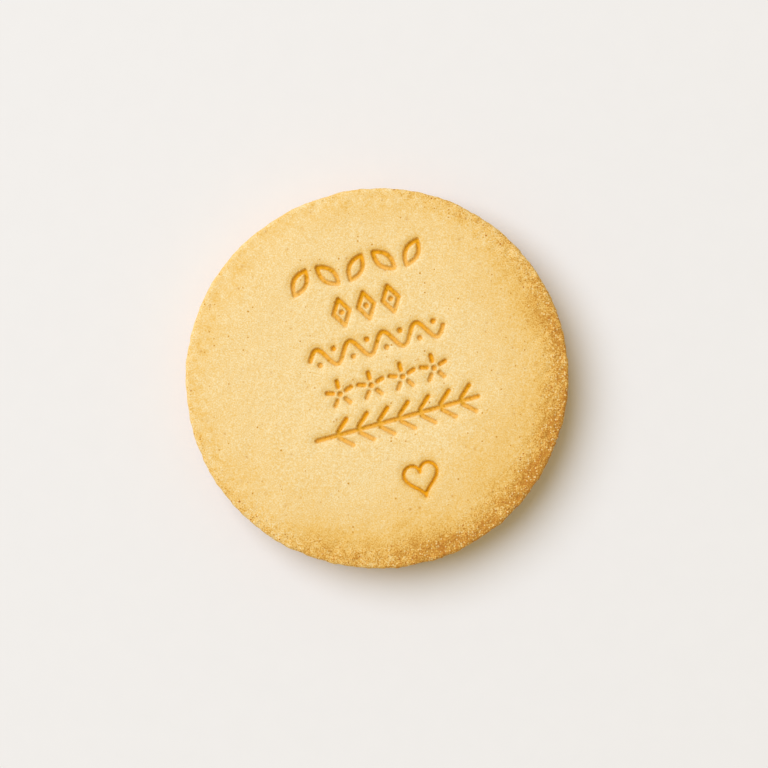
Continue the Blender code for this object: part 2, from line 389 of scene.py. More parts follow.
class BiscuitStamp(bpy.types.PropertyGroup):
    """Sizes of the stamp's grooves."""

    turn: FloatProperty(
        name="Turn",
        description="How far the stamped block is turned on the biscuit",
        default=math.radians(15.5),
        subtype="ANGLE",
        unit="ROTATION",
    )
    stroke_width: FloatProperty(
        name="Stroke Width",
        description="Width of a groove at the top",
        default=0.00078,
        subtype="DISTANCE",
        unit="LENGTH",
    )
    stroke_depth: FloatProperty(
        name="Stroke Depth",
        description="Depth of a groove below its soft shoulders",
        default=0.00055,
        subtype="DISTANCE",
        unit="LENGTH",
    )
    wall_width: FloatProperty(
        name="Wall Width",
        description="How wide a groove's leaning wall is",
        default=0.00020,
        subtype="DISTANCE",
        unit="LENGTH",
    )
    shoulder_depth: FloatProperty(
        name="Shoulder Depth",
        description="How far the dough beside a groove was pulled down with it",
        default=0.00012,
        subtype="DISTANCE",
        unit="LENGTH",
    )
    shoulder_width: FloatProperty(
        name="Shoulder Width",
        description="How far that soft dip reaches beside a groove",
        default=0.00050,
        subtype="DISTANCE",
        unit="LENGTH",
    )
    dot_diameter: FloatProperty(
        name="Dot Diameter",
        description="Width of a stamped dot",
        default=0.00095,
        subtype="DISTANCE",
        unit="LENGTH",
    )


class BiscuitCrust(bpy.types.PropertyGroup):
    """Colours of the crust."""

    light: FloatVectorProperty(
        name="Lightest Dough",
        description="The lightest flecks of the top",
        default=(0.88, 0.70, 0.38),
        subtype="COLOR",
        size=3,
        min=0.0,
        max=1.0,
    )
    pale: FloatVectorProperty(
        name="Pale Dough",
        description="The middle of the top",
        default=(0.845, 0.625, 0.29),
        subtype="COLOR",
        size=3,
        min=0.0,
        max=1.0,
    )
    golden: FloatVectorProperty(
        name="Golden Dough",
        description="Where the crust begins to brown",
        default=(0.79, 0.478, 0.115),
        subtype="COLOR",
        size=3,
        min=0.0,
        max=1.0,
    )
    brown: FloatVectorProperty(
        name="Browned Dough",
        description="The brownest of the rim",
        default=(0.60, 0.282, 0.034),
        subtype="COLOR",
        size=3,
        min=0.0,
        max=1.0,
    )
    scorched: FloatVectorProperty(
        name="Scorched Dough",
        description="The darkest flecks of the rim",
        default=(0.50, 0.188, 0.022),
        subtype="COLOR",
        size=3,
        min=0.0,
        max=1.0,
    )
    # The grooves' deep gold: partly the dough's own colour there, partly painted shade in the
    # grooves
    pressed_and_shaded: FloatVectorProperty(
        name="Pressed Dough",
        description="The dense dough in the grooves",
        default=(0.76, 0.358, 0.010),
        subtype="COLOR",
        size=3,
        min=0.0,
        max=1.0,
    )
    roughness: FloatProperty(
        name="Roughness",
        description="Roughness of the dry crust",
        default=0.82,
        min=0.0,
        max=1.0,
    )


class BiscuitGrains(bpy.types.PropertyGroup):
    """The loose grains baked onto the rim."""

    crumb_count: IntProperty(
        name="Crumbs",
        description="Crumbs of dough on the rim",
        default=7000,
        min=0,
    )
    crumb_size: FloatProperty(
        name="Crumb Size",
        description="Width of an average crumb",
        default=0.00022,
        subtype="DISTANCE",
        unit="LENGTH",
    )
    sugar_count: IntProperty(
        name="Sugar Grains",
        description="Pale grains of sugar, mostly on the rim",
        default=260,
        min=0,
    )
    sugar_size: FloatProperty(
        name="Sugar Size",
        description="Width of an average grain of sugar",
        default=0.00027,
        subtype="DISTANCE",
        unit="LENGTH",
    )
    sugar: FloatVectorProperty(
        name="Sugar",
        description="Colour of the grains of sugar",
        default=(0.90, 0.71, 0.38),
        subtype="COLOR",
        size=3,
        min=0.0,
        max=1.0,
    )


class BiscuitStage(bpy.types.PropertyGroup):
    """The floor and the light."""

    floor: FloatVectorProperty(
        name="Floor",
        description="Colour of the plain floor",
        default=(0.80, 0.775, 0.745),
        subtype="COLOR",
        size=3,
        min=0.0,
        max=1.0,
    )
    key_power: FloatProperty(
        name="Key Light",
        description="Power of the large soft light, in watts",
        default=196.0,
        min=0.0,
    )
    key_colour: FloatVectorProperty(
        name="Key Colour",
        description="Colour of the large soft light",
        default=(0.738, 0.81, 1.0),
        subtype="COLOR",
        size=3,
        min=0.0,
        max=1.0,
    )
    fill: FloatProperty(
        name="Fill",
        description="Strength of the light from all round",
        default=0.48,
        min=0.0,
    )
    fill_colour: FloatVectorProperty(
        name="Fill Colour",
        description="Colour of the light from all round",
        default=(1.0, 0.875, 0.54),
        subtype="COLOR",
        size=3,
        min=0.0,
        max=1.0,
    )


def cosine_noise(points, size, seed, waves=NOISE_WAVES):
    """Smooth noise of spread 1: cosine waves of random direction, length and phase, added up."""
    random = np.random.default_rng(seed)
    direction = random.normal(size=(3, waves))
    direction /= np.linalg.norm(direction, axis=0)
    length = size * random.uniform(*NOISE_LENGTHS, waves)
    phase = random.uniform(0.0, 2 * math.pi, waves)
    return np.cos(points @ (direction * 2 * math.pi / length) + phase).sum(1) * math.sqrt(2 / waves)


def ramp(value, low, high):
    """0 below low, 1 above high and a smooth step, 3 t^2 - 2 t^3, between."""
    t = np.clip((value - low) / (high - low), 0.0, 1.0)
    return t * t * (3 - 2 * t)


def turned(points, angle):
    """Points (n, 2) turned anticlockwise about the origin."""
    cos, sin = math.cos(angle), math.sin(angle)
    x, y = points.T
    return np.column_stack((x * cos - y * sin, x * sin + y * cos))


def row_places(count, pitch):
    """Evenly spaced places along a row, centred on it."""
    return pitch * (np.arange(count) - (count - 1) / 2)


def leaf(lean):
    """A pointed oval: two bowed edges, each width * (1 - t * t) / 2 away from the midrib."""
    t = np.linspace(-1.0, 1.0, LEAF_STEPS + 1)
    right = np.column_stack((LEAF_WIDTH / 2 * (1 - t * t), MOTIF_HEIGHT / 2 * t))
    left = (right * (-1, 1))[-2:0:-1]
    return turned(np.vstack((right, left)), lean)


def heart():
    """The sine heart, 16 sin^3 t across and 13 cos t - 5 cos 2t - 2 cos 3t - cos 4t up.

    In those units it is 32 across, which is scaled to its width, and it is stretched upright.
    """
    t = np.linspace(0.0, 2 * math.pi, HEART_STEPS, endpoint=False)
    up = 13 * np.cos(t) - 5 * np.cos(2 * t) - 2 * np.cos(3 * t) - np.cos(4 * t)
    return np.column_stack((16 * np.sin(t) ** 3, HEART_STRETCH * up)) * HEART_WIDTH / 32


def leaf_row():
    """Leaves that lean right and left in turn."""
    leans = [LEAF_LEAN if i % 2 else -LEAF_LEAN for i in range(LEAF_COUNT)]
    places = row_places(LEAF_COUNT, LEAF_PITCH)
    return [(leaf(lean) + (x, 0), True) for x, lean in zip(places, leans)], []


def diamond_row():
    """Upright diamonds side by side, each with a dot in it."""
    wide, high = DIAMOND_WIDTH / 2, MOTIF_HEIGHT / 2
    corners = np.array([(wide, 0), (0, high), (-wide, 0), (0, -high)])
    places = row_places(DIAMOND_COUNT, DIAMOND_PITCH)
    return [(corners + (x, 0), True) for x in places], [(x, 0) for x in places]


def wave_row():
    """A running sine wave, with a dot in each of its bays."""
    x = np.linspace(-0.5, 0.5, WAVE_STEPS * WAVE_COUNT + 1) * WAVE_LENGTH * WAVE_COUNT
    line = np.column_stack((x, WAVE_HEIGHT / 2 * np.sin(2 * math.pi * x / WAVE_LENGTH)))
    places = row_places(2 * WAVE_COUNT, WAVE_LENGTH / 2)
    dots = [(x, BAY_DOT_RISE if i % 2 else -BAY_DOT_RISE) for i, x in enumerate(places)]
    return [(line, False)], dots


def flower_row():
    """Small flowers: petals as short spokes round a dot."""
    spoke = np.array([(0, PETAL_START), (0, PETAL_END)])
    petals = [turned(spoke, 2 * math.pi * i / PETALS) for i in range(PETALS)]
    places = row_places(FLOWER_COUNT, FLOWER_PITCH)
    return [(petal + (x, 0), False) for x in places for petal in petals], [(x, 0) for x in places]


def ear_row():
    """An ear of wheat lying along the row: a straw with pairs of grains leaning forward."""
    straw = np.array([(-EAR_LENGTH / 2, 0), (EAR_LENGTH / 2, 0)])
    grain = np.array([(GRAIN_START, 0), (GRAIN_START + GRAIN_LENGTH, 0)])
    feet = np.linspace(EAR_STALK - EAR_LENGTH / 2, EAR_LENGTH / 2 - EAR_TIP, EAR_PAIRS)
    leans = (GRAIN_LEAN, -GRAIN_LEAN)
    grains = [(turned(grain, lean) + (foot, 0), False) for foot in feet for lean in leans]
    return [(straw, False), *grains], []


def stamp_design(stamp):
    """All strokes as (points, closed, width) and the places of all dots, on the biscuit."""
    strokes, dots = [], []
    rows_from_below = (ear_row, flower_row, wave_row, diamond_row, leaf_row)
    for number, row in enumerate(rows_from_below):
        shift = (STAMP_ACROSS, LOWEST_ROW + ROW_PITCH * number)
        row_strokes, row_dots = row()
        for points, closed in row_strokes:
            strokes.append((turned(points + shift, stamp.turn), closed, stamp.stroke_width))
        dots += [turned(np.array([dot]) + shift, stamp.turn)[0] for dot in row_dots]
    placed = turned(heart() + (HEART_ACROSS, HEART_ROW), stamp.turn)
    strokes.append((placed, True, stamp.stroke_width * HEART_STROKE_SHARE))
    return strokes, dots


def distance_to_line(places, points, closed):
    """Each place's distance to the nearest of the line's segments."""
    start = points if closed else points[:-1]
    end = np.roll(points, -1, 0) if closed else points[1:]
    along = end - start
    to_place = places[:, None, :] - start[None]
    share = (to_place * along).sum(2) / (along * along).sum(1)
    nearest = to_place - np.clip(share, 0.0, 1.0)[..., None] * along
    return np.sqrt((nearest * nearest).sum(2).min(1))


def distance_to_stamp(places, stamp):
    """Each place's distance outside the nearest groove's edge; inside a groove it is negative."""
    reach = DIP_REACH * stamp.shoulder_width
    nearest = np.full(len(places), reach)
    strokes, dots = stamp_design(stamp)
    for points, closed, width in strokes:
        near = np.all((places > points.min(0) - reach) & (places < points.max(0) + reach), axis=1)
        found = distance_to_line(places[near], points, closed) - width / 2
        nearest[near] = np.minimum(nearest[near], found)
    for dot in dots:
        nearest = np.minimum(nearest, np.hypot(*(places - dot).T) - stamp.dot_diameter / 2)
    return nearest


def upper_side(places, stamp):
    """1 at the upper side of each stamped row and 0 at its lower side, a smooth step between.

    Over the heart, which is stamped evenly, it is 1.
    """
    height = turned(places, -stamp.turn)[:, 1] - LOWEST_ROW
    nearest = ROW_PITCH * np.maximum(np.round(height / ROW_PITCH), 0)
    upper = ramp(height - nearest, -MOTIF_HEIGHT / 2, MOTIF_HEIGHT / 2)
    return np.where(height < (HEART_ROW - LOWEST_ROW) / 2, 1.0, upper)


def cross_section(shape):
    """The profile as arrays (length along it, radius, height), from the top's middle to the base's.

    The dome is thickness less drop * (radius / R) ^ power, out to the shoulder. An arc turns from
    the dome's slope to upright at the full radius, the side draws in with the square of the way
    down, a quadratic curve rounds the foot, and the base is flat.
    """
    full = shape.diameter / 2
    shoulder = SHOULDER * full
    slope = math.atan(DOME_POWER * shape.dome_drop / full * SHOULDER ** (DOME_POWER - 1))
    arc_radius = (full - shoulder) / (1 - math.sin(slope))
    shoulder_height = shape.thickness - shape.dome_drop * SHOULDER**DOME_POWER
    arc_height = shoulder_height - arc_radius * math.cos(slope)
    step = np.linspace(0.0, 1.0, PROFILE_STEPS)
    dome_radius = shoulder * step
    dome_height = shape.thickness - shape.dome_drop * (dome_radius / full) ** DOME_POWER
    turn = slope + (math.pi / 2 - slope) * step
    side_share = step * (1 - FOOT_ROUNDING / arc_height)
    side = np.array((full - FOOT_INSET * side_share**2, arc_height * (1 - side_share)))
    corner = np.array(((full - FOOT_INSET,), (0.0,)))
    landing = corner - ((FOOT_ROUNDING,), (0.0,))
    foot = (1 - step) ** 2 * side[:, -1:] + 2 * step * (1 - step) * corner + step**2 * landing
    radius = np.concatenate((
        dome_radius, (full - arc_radius * (1 - np.sin(turn)))[1:], side[0, 1:], foot[0, 1:],
        (landing[0] * (1 - step))[1:],
    ))
    height = np.concatenate((
        dome_height, (arc_height + arc_radius * np.cos(turn))[1:], side[1, 1:], foot[1, 1:],
        np.zeros(PROFILE_STEPS - 1),
    ))
    length = np.concatenate(([0.0], np.hypot(np.diff(radius), np.diff(height)).cumsum()))
    return length, radius, height


def foot_way(length, heights):
    """The way along the profile at which it meets the floor."""
    return length[np.argmax(heights[1:] <= 0) + 1]


def outline_factor(angle):
    """How much wider or narrower the baked rim is at each angle: a sum of a few cosine waves."""
    return 1 + sum(
        share * np.cos(count * angle - math.radians(way)) for count, share, way in OUTLINE_WAVES
    )


def outline_shift(full):
    """How far the waves put the outline's box off centre, in X and Y."""
    angle = np.linspace(0.0, 2 * math.pi, OUTLINE_STEPS, endpoint=False)
    edge = full * outline_factor(angle) * np.array((np.cos(angle), np.sin(angle)))
    return (edge.max(1) + edge.min(1)) / 2


def bare_surface(along, angle, shape):
    """Places (n, 3) and outward normals on the unstamped biscuit, and each place's radius share.

    Along is the way down the cross-section and angle the way round. The radius is scaled by the
    outline's waves, and the top rises and falls by a product of two long waves.
    """
    length, radii, heights = cross_section(shape)
    radius = np.interp(along, length, radii)
    height = np.interp(along, length, heights)
    out = -np.interp(along, length, np.gradient(heights, length))
    up = np.interp(along, length, np.gradient(radii, length))
    direction = np.column_stack((np.cos(angle), np.sin(angle)))
    flat = direction * (radius * outline_factor(angle))[:, None] - outline_shift(shape.diameter / 2)
    wave_x = np.sin(2 * math.pi * flat[:, 0] / SWELL_LENGTH_X + SWELL_PHASE_X)
    wave_y = np.cos(2 * math.pi * flat[:, 1] / SWELL_LENGTH_Y + SWELL_PHASE_Y)
    height = height + SWELL_DEPTH * (wave_x * wave_y - 1) * height / shape.thickness
    normal = np.column_stack((direction * out[:, None], up))
    normal /= np.linalg.norm(normal, axis=1)[:, None]
    return np.column_stack((flat, height)), normal, radius / (shape.diameter / 2)


def facing_away_from_key(angle):
    """1 on the side turned away from the key light, 0 on the lit side, as a cosine between."""
    return 0.5 + 0.5 * np.cos(angle - BROWN_AND_SHADE_DIRECTION)


def patches(places, kind, seed):
    """Smooth noise of a (strength, length) kind."""
    strength, length = kind
    return strength * cosine_noise(places, length, seed)


def browning_and_shade(places, normals, share, angle, shape):
    """How brown the crust is, from 0 to 1, with painted light and shade in it: it comes in
    towards the rim, most on the side turned away from the key light, where part is painted shade.

    The top is the sum of bands round the rim, which all gain towards that side. Below it come, one
    after another, the lip's tone, which is painted light and shade, the side wall's, the foot's and
    the underside's.
    """
    facing = facing_away_from_key(angle)
    level = places[:, 2] / shape.thickness + patches(places, LEVEL_WAVER, BROWN_SEED + 4)
    down = -normals[:, 2]
    rim = share + patches(places, RIM_WANDER, BROWN_SEED)
    rim = rim + patches(places, RIM_RAGGED, BROWN_SEED + 1)
    # Bands round the rim; their further tone, towards the side away from the key light, is partly
    # painted shade
    tone = TOP_TONE + sum(
        ramp(rim, start, 1.0) * (even + more * facing**power)
        for start, even, more, power in BROWN_AND_SHADE_BANDS
    )
    tone = tone + patches(places, RIM_MOTTLE, BROWN_SEED + 3) * ramp(share, *MOTTLE_REACH)
    # The lip's tone: painted light on the turning edge, painted shade towards the side away from
    # the key light
    lip = LIP_LIGHT_AND_SHADE_TONES[0] + LIP_LIGHT_AND_SHADE_TONES[1] * facing ** LIP_LIGHT_AND_SHADE_TONES[2]
    wall = WALL_TONES[0] + WALL_TONES[1] * facing + patches(places, WALL_PATCHES, BROWN_SEED + 2)
    base = BASE_TONE + patches(places, BASE_PATCHES, BROWN_SEED + 2)
    base = base + BASE_EDGE_TONE * ramp(share, *BASE_EDGE_REACH)
    tone = tone + (lip - tone) * ramp(down, *LIP_TURN)
    tone = tone + (wall - tone) * ramp(-level, -LIP_ENDS, -WALL_FROM)
    tone = tone + (FOOT_TONE - tone) * ramp(-level, -FOOT_FROM, -FOOT_FULL)
    tone = tone + (base - tone) * ramp(down, *BASE_TURN)
    return np.clip(tone, 0.0, 1.0)


def crumbliness(share, angle, normals):
    """How crumbly the crust is, from 0 to 1: the rim all round, most where it is brownest."""
    facing = facing_away_from_key(angle)
    down = -normals[:, 2]
    rim = ramp(share, CRUMBLY_FROM - CRUMBLY_REACH * facing, 1.0)
    strength = CRUMBLY_EVEN + (1 - CRUMBLY_EVEN) * facing
    wall = 1 - (1 - CRUMBLY_WALL) * ramp(down, *CRUMB_WALL_TURN)
    return rim * strength * wall * (1 - ramp(down, *CRUMB_BASE_TURN))


def pits(places, shape):
    """How deep each place is in a pit, from 0 to 1: a bell round each pit's centre.

    The pits are scattered over the top, more of them towards the rim, each with its own width.
    """
    random = np.random.default_rng(PIT_SEED)
    share = random.uniform(0.0, 1.0, shape.pit_count) ** PIT_CROWDING
    radius = PIT_REACH * shape.diameter / 2 * share
    angle = random.uniform(0.0, 2 * math.pi, shape.pit_count)
    width = random.uniform(*PIT_WIDTHS, shape.pit_count)
    depth = random.uniform(*PIT_SHARES, shape.pit_count)
    centres = np.column_stack((radius * np.cos(angle), radius * np.sin(angle)))
    deepest = np.zeros(len(places))
    for centre, wide, deep in zip(centres, width, depth):
        apart = ((places[:, :2] - centre) ** 2).sum(1) / wide**2
        deepest = np.maximum(deepest, deep * np.exp(-apart))
    return deepest


def dressed_surface(along, angle, shape, stamp):
    """The finished crust at the given places, with the values that colour it.

    From the bare surface, the grain is pushed out along the normal, and the stamp and the pits are
    sunk straight down. Beside each groove the dough is drawn down on one side, which is also
    painted darker, painted shade, and stands up on the other, which is painted lighter, a painted
    highlight;
    the grooves take their deep gold, partly painted shade, most at the upper side of each row. On
    the underside the grain only ever reaches into the dough.
    """
    places, normals, share = bare_surface(along, angle, shape)
    flat = places[:, :2]
    down = -normals[:, 2]
    on_top = 1 - ramp(down, *TOP_ENDS)
    crumbly = crumbliness(share, angle, normals)
    fine = cosine_noise(places, FINE_LENGTH, RELIEF_SEED, RELIEF_WAVES)
    coarse = cosine_noise(places, COARSE_LENGTH, RELIEF_SEED + 1, RELIEF_WAVES)
    soft = cosine_noise(places, SOFT_LENGTH, RELIEF_SEED + 2)
    relief = shape.grain_relief * (fine + GRAIN_COARSE * coarse + GRAIN_SOFT * soft)
    crumb = CRUMB_FINE * fine + coarse - CRUMB_HOLLOW * np.abs(coarse)
    relief = relief + shape.rim_relief * crumbly * crumb
    relief = relief + patches(places, SIDE_WAVER, RELIEF_SEED + 3) * ramp(down, *SIDE_TURN)
    under = ramp(down, *RELIEF_BASE_TURN)
    relief = relief * (1 - under) - BASE_DENTS * under * np.abs(fine + coarse)

    edge = distance_to_stamp(flat, stamp)
    drawn = ROCK_SHIFT * np.array((math.cos(ROCK_DIRECTION), math.sin(ROCK_DIRECTION)))
    beside = distance_to_stamp(flat + drawn, stamp)
    upper = upper_side(flat, stamp)
    wall = stamp.wall_width
    core = ramp(-edge, (WALL_INSIDE - 1) * wall, WALL_INSIDE * wall) * on_top
    shoulder = np.exp(-((np.maximum(beside, 0.0) / stamp.shoulder_width) ** 2)) * on_top
    beyond = np.clip((beside - edge) / ROCK_SHIFT, 0.0, 1.0)
    beyond = beyond * np.exp(-((edge / EDGE_WIDTH) ** 2)) * on_top
    pit = pits(places, shape) * on_top
    depth = stamp.stroke_depth * core * (LEAST_DEPTH + (1 - LEAST_DEPTH) * upper)
    depth = depth + stamp.shoulder_depth * shoulder - EDGE_RISE * beyond + PIT_DEPTH * pit

    # The edge beyond a groove is painted lighter: a painted highlight
    tone = browning_and_shade(places, normals, share, angle, shape) - EDGE_HIGHLIGHT_TONE * beyond
    # The dip beside a groove is painted darker: painted shade where its slope is turned away from
    # the light
    tone = tone + DIP_SHADE_TONE * shoulder * (DIP_SHADE_EVEN + (1 - DIP_SHADE_EVEN) * upper)
    # The grooves' deep gold, partly painted shade, deepest at the upper side of each row, which is
    # painted shade too
    pressed_and_shaded = core * (LEAST_GROOVE_SHADE + (1 - LEAST_GROOVE_SHADE) * upper)
    places = places + normals * relief[:, None]
    places[:, 2] = np.maximum(places[:, 2] - depth, 0.0)
    tone = np.clip(tone, 0.0, 1.0)
    return places, {"browning_and_shade": tone, "pressed_and_shaded": pressed_and_shaded, "pit": pit, "crumbly": crumbly}


def ring_stops(shape):
    """The way along the cross-section of each ring of points, from the top's middle to the base's.

    The way between two rings is the height of an even triangle on the spacing there.
    """
    length, radii, heights = cross_section(shape)
    rim = length[PROFILE_STEPS - 1]
    foot = foot_way(length, heights)
    marks = (
        0.0, STAMP_REACH, STAMP_REACH + STAMP_MARGIN, rim,
        rim + SHOULDER_MARGIN, foot, foot + FOOT_MARGIN, length[-1],
    )
    spacings = (
        STAMP_SPACING, STAMP_SPACING, RIM_SPACING, RIM_SPACING,
        SIDE_SPACING, SIDE_SPACING, BASE_SPACING, BASE_SPACING,
    )
    stops = [0.0]
    while stops[-1] < length[-1] - BASE_SPACING / 2:
        stops.append(stops[-1] + ROW_SHARE * np.interp(stops[-1], marks, spacings))
    stops[-1] = length[-1]
    spacing = np.interp(stops, marks, spacings)
    around = 2 * math.pi * np.interp(stops, length, radii)
    counts = np.maximum(np.round(around / spacing), FEWEST_ROUND)
    counts[[0, -1]] = 1
    return np.array(stops), counts.astype(int)


def band(first, inner, second, outer):
    """Triangles between two rings of points, numbered from first and second.

    Each edge of one ring gets the point of the other that lies beside its middle, so that the
    triangles of both rings' edges interlock whatever the two counts are.
    """
    i = np.arange(inner)
    j = np.arange(outer)
    across = -((inner - (2 * i + 1) * outer) // (2 * inner)) % outer
    back = ((2 * j + 1) * inner + outer) // (2 * outer) % inner
    inward = np.column_stack((first + (i + 1) % inner, first + i, second + across))
    outward = np.column_stack((second + j, second + (j + 1) % outer, first + back))
    return np.vstack(([] if inner == 1 else [inward]) + ([] if outer == 1 else [outward]))


def mesh_object(name, points, faces, attributes, material):
    """A smooth-shaded object at the origin from whole arrays, with its point attributes."""
    mesh = bpy.data.meshes.new(name)
    mesh.vertices.add(len(points))
    mesh.vertices.foreach_set("co", np.ascontiguousarray(points, np.float32).ravel())
    corners = faces.shape[1]
    mesh.loops.add(faces.size)
    mesh.loops.foreach_set("vertex_index", faces.astype(np.int32).ravel())
    mesh.polygons.add(len(faces))
    mesh.polygons.foreach_set("loop_start", np.arange(0, faces.size, corners, dtype=np.int32))
    mesh.update(calc_edges=True)
    mesh.validate()
    mesh.shade_smooth()
    for key, values in attributes.items():
        attribute = mesh.attributes.new(key, "FLOAT", "POINT")
        attribute.data.foreach_set("value", values.astype(np.float32))
    mesh.materials.append(material)
    piece = bpy.data.objects.new(name, mesh)
    bpy.context.scene.collection.objects.link(piece)
    return piece


def on_biscuit(piece):
    """The piece rides on the biscuit's body."""
    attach(piece, BODY)


def material_nodes(name):
    """A new material's nodes, its links and its Principled shader."""
    material = bpy.data.materials.new(name)
    material.use_nodes = True
    tree = material.node_tree
    return material, tree.nodes, tree.links, tree.nodes["Principled BSDF"]


def attribute_value(nodes, name):
    """The output that holds one of the piece's own point attributes."""
    node = nodes.new("ShaderNodeAttribute")
    node.attribute_name = name
    return node.outputs["Fac"]


def math_value(nodes, links, operation, *inputs):
    """The result of a Math node on inputs that are outputs of other nodes or plain numbers."""
    node = nodes.new("ShaderNodeMath")
    node.operation = operation
    for socket, value in zip(node.inputs, inputs):
        if isinstance(value, bpy.types.NodeSocket):
            links.new(value, socket)
        else:
            socket.default_value = value
    return node.outputs[0]


def sum_of(nodes, links, *terms):
    """The sum of (output, factor, offset) terms, each output * factor + offset."""
    total = None
    for term in terms:
        scaled = math_value(nodes, links, "MULTIPLY_ADD", *term)
        total = scaled if total is None else math_value(nodes, links, "ADD", total, scaled)
    return total


def product_of(nodes, links, first, second):
    """One output times another."""
    return math_value(nodes, links, "MULTIPLY", first, second)


def noise_value(nodes, links, size, detail=1.0, roughness=0.5):
    """Noise on Object coordinates, whose features are about size wide."""
    place = nodes.new("ShaderNodeTexCoord")
    noise = nodes.new("ShaderNodeTexNoise")
    noise.inputs["Scale"].default_value = 1 / size
    noise.inputs["Detail"].default_value = detail
    noise.inputs["Roughness"].default_value = roughness
    links.new(place.outputs["Object"], noise.inputs["Vector"])
    return noise.outputs["Fac"]


def centred(output, factor):
    """A term for sum_of that shifts a noise's middle, 0.5, to 0."""
    return output, factor, -factor / 2


def mean_colour(first, second):
    """The colour halfway between two."""
    return [(a + b) / 2 for a, b in zip(first, second)]


def colour_ramp(nodes, links, value, stops):
    """Colours along a value, from (position, colour) stops."""
    stops = tuple(stops)
    node = nodes.new("ShaderNodeValToRGB")
    elements = node.color_ramp.elements
    while len(elements) < len(stops):
        elements.new(0.5)
    for element, (position, colour) in zip(elements, stops):
        element.position = position
        element.color = (*colour, 1.0)
    links.new(value, node.inputs["Fac"])
    return node.outputs["Color"]


def mixed(nodes, links, share, first, colour):
    """A colour output mixed towards a plain colour by a share output."""
    node = nodes.new("ShaderNodeMix")
    node.data_type = "RGBA"
    links.new(share, node.inputs["Factor"])
    links.new(first, node.inputs["A"])
    node.inputs["B"].default_value = (*colour, 1.0)
    return node.outputs["Result"]


def smooth_step(nodes, links, value, low, high):
    """0 where a value is at low, 1 where it is at high, and a smooth step between."""
    node = nodes.new("ShaderNodeMapRange")
    node.interpolation_type = "SMOOTHSTEP"
    links.new(value, node.inputs["Value"])
    node.inputs["From Min"].default_value = low
    node.inputs["From Max"].default_value = high
    return node.outputs["Result"]


def specks(nodes, links, kind, where):
    """Small round specks, from 0 to 1, round the middles of some cells of a Voronoi pattern.

    A kind is (spacing, radius, share). The cells are about spacing wide. Of them, share times the
    value where have a speck, and each speck has its own radius, spread round the one given.
    """
    spacing, radius, share = kind
    place = nodes.new("ShaderNodeTexCoord")
    cells = nodes.new("ShaderNodeTexVoronoi")
    cells.inputs["Scale"].default_value = 1 / spacing
    links.new(place.outputs["Object"], cells.inputs["Vector"])
    draw = nodes.new("ShaderNodeSeparateColor")
    links.new(cells.outputs["Color"], draw.inputs["Color"])
    apart = sum_of(
        nodes, links,
        (cells.outputs["Distance"], spacing / radius, SPECK_SPREAD),
        (draw.outputs["Green"], -2 * SPECK_SPREAD, 0.0),
    )
    near = smooth_step(nodes, links, apart, *SPECK_EDGE)
    chance = sum_of(nodes, links, (where, share, 0.0), (draw.outputs["Red"], 1.0, 0.0))
    return product_of(nodes, links, near, smooth_step(nodes, links, chance, *SPECK_DRAW))


def crust_material(crust):
    """Matt golden crust, browner by its attribute, mottled by grain, deep gold in the grooves.

    The attribute that browns it also holds painted light and shade, and the grooves' deep gold is
    partly painted shade.
    """
    material, nodes, links, shader = material_nodes("golden_crust")
    browned_and_shaded = attribute_value(nodes, "browning_and_shade")
    crumbly = attribute_value(nodes, "crumbly")
    pressed_and_shaded = attribute_value(nodes, "pressed_and_shaded")
    speckled = sum_of(nodes, links, (browned_and_shaded, SPECKS_BROWNED, SPECKS_UNBROWNED))
    most_crumbly = product_of(nodes, links, crumbly, crumbly)
    fine = noise_value(nodes, links, *FINE_NOISE[:2])
    grain = noise_value(nodes, links, *GRAIN_NOISE[:2])
    patch = noise_value(nodes, links, *PATCH_NOISE[:2])
    rough = sum_of(nodes, links, centred(fine, CRUMBLY_FINE), centred(patch, CRUMBLY_PATCH))
    tone = sum_of(
        nodes, links,
        (browned_and_shaded, TONE_SCALE, TONE_SCALE * PALE_TONE),
        (product_of(nodes, links, rough, crumbly), TONE_SCALE, 0.0),
        centred(fine, TONE_SCALE * FINE_NOISE[2]),
        centred(grain, TONE_SCALE * GRAIN_NOISE[2]),
        centred(patch, TONE_SCALE * PATCH_NOISE[2]),
    )
    middle = mean_colour(crust.pale, crust.golden)
    colour = colour_ramp(nodes, links, tone, (
        (0.0, crust.light),
        (TONE_SCALE * PALE_TONE, crust.pale),
        (TONE_SCALE * MIDDLE_TONE, middle),
        (TONE_SCALE * GOLDEN_TONE, crust.golden),
        (TONE_SCALE, crust.brown),
        (1.0, crust.scorched),
    ))
    blotches = noise_value(nodes, links, BLOTCH_LENGTH)
    blotches = smooth_step(nodes, links, blotches, *BLOTCH_LIMITS)
    blotches = product_of(nodes, links, blotches, pressed_and_shaded)
    layers = (
        (specks(nodes, links, PALE_SPECKS, crumbly), mean_colour(crust.pale, middle)),
        (specks(nodes, links, SCORCHED_SPECKS, most_crumbly), crust.scorched),
        (specks(nodes, links, BROWN_SPECKS, speckled), crust.brown),
        # Each pit is painted brown: painted shade in its hollow
        (attribute_value(nodes, "pit"), crust.brown),
        # The grooves' deep gold, partly painted shade
        (pressed_and_shaded, crust.pressed_and_shaded),
        (blotches, [part * BLOTCH_SHADE for part in crust.pressed_and_shaded]),
    )
    for share, layer in layers:
        colour = mixed(nodes, links, share, colour, layer)
    links.new(colour, shader.inputs["Base Color"])
    shader.inputs["Roughness"].default_value = crust.roughness
    sheen = sum_of(nodes, links, (pressed_and_shaded, -CRUST_SHEEN, CRUST_SHEEN))
    links.new(sheen, shader.inputs["Specular IOR Level"])
    bump = nodes.new("ShaderNodeBump")
    bump.inputs["Strength"].default_value = BUMP_STRENGTH
    bump.inputs["Distance"].default_value = BUMP_HEIGHT
    links.new(noise_value(nodes, links, *BUMP_NOISE), bump.inputs["Height"])
    links.new(bump.outputs["Normal"], shader.inputs["Normal"])
    return material


